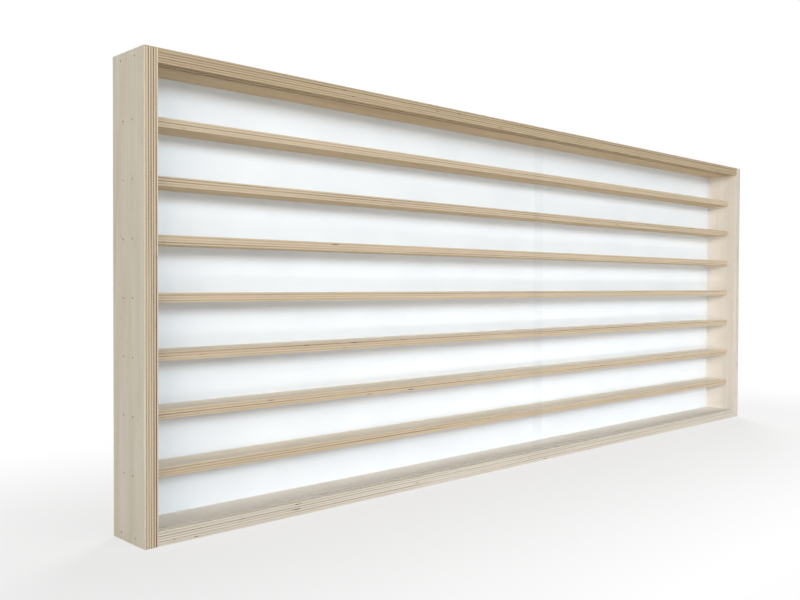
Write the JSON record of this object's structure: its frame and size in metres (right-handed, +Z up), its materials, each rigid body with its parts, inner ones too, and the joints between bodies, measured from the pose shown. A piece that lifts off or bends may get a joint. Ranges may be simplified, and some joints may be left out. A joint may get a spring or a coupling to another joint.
{
  "type": "display case",
  "caption": "Shallow wide wall display case for small models: plywood frame with shelves, white back, grooves in the top and bottom boards for clear sliding panes.",
  "frame": {"origin": "centre of the case's underside, halfway between its front and rear planes", "axes": "+X to the right as seen from the front, +Y from the open front towards the wall, +Z up"},
  "size_m": [1.3, 0.068, 0.5],
  "materials": {
    "frame_ply": "sanded birch plywood, thin clear satin finish, plies showing on the edges",
    "shelf_ply": "sanded plywood, thin clear satin finish, plies showing on the front edge",
    "white_board": "thin hardboard, smooth white satin face, bare brown rear face",
    "clear_acrylic": "clear polished acrylic sheet",
    "brad_steel": "dull plain steel wire",
    "zinc_steel": "bright zinc-plated steel"
  },
  "bodies": {
    "case": {"left_side_panel": "frame_ply", "right_side_panel": "frame_ply", "top_panel": "frame_ply", "bottom_panel": "frame_ply", "back_panel": "white_board", "left_side_brads": "brad_steel", "right_side_brads": "brad_steel", "back_panel_pins": "brad_steel", "left_hanger_plate": "zinc_steel", "right_hanger_plate": "zinc_steel", "hanger_screws": "zinc_steel", "shelf_1": "shelf_ply", "shelf_2": "shelf_ply", "shelf_3": "shelf_ply", "shelf_4": "shelf_ply", "shelf_5": "shelf_ply", "shelf_6": "shelf_ply", "shelf_7": "shelf_ply"},
    "left_pane": {"left_sliding_pane": "clear_acrylic"},
    "right_pane": {"right_sliding_pane": "clear_acrylic"}
  },
  "joints": [
    {"name": "left_pane_slide", "type": "slide", "parent": "case", "child": "left_pane", "axis": [1, 0, 0], "range_m": [0, 0.6195]},
    {"name": "right_pane_slide", "type": "slide", "parent": "case", "child": "right_pane", "axis": [1, 0, 0], "range_m": [-0.6195, 0]}
  ]
}
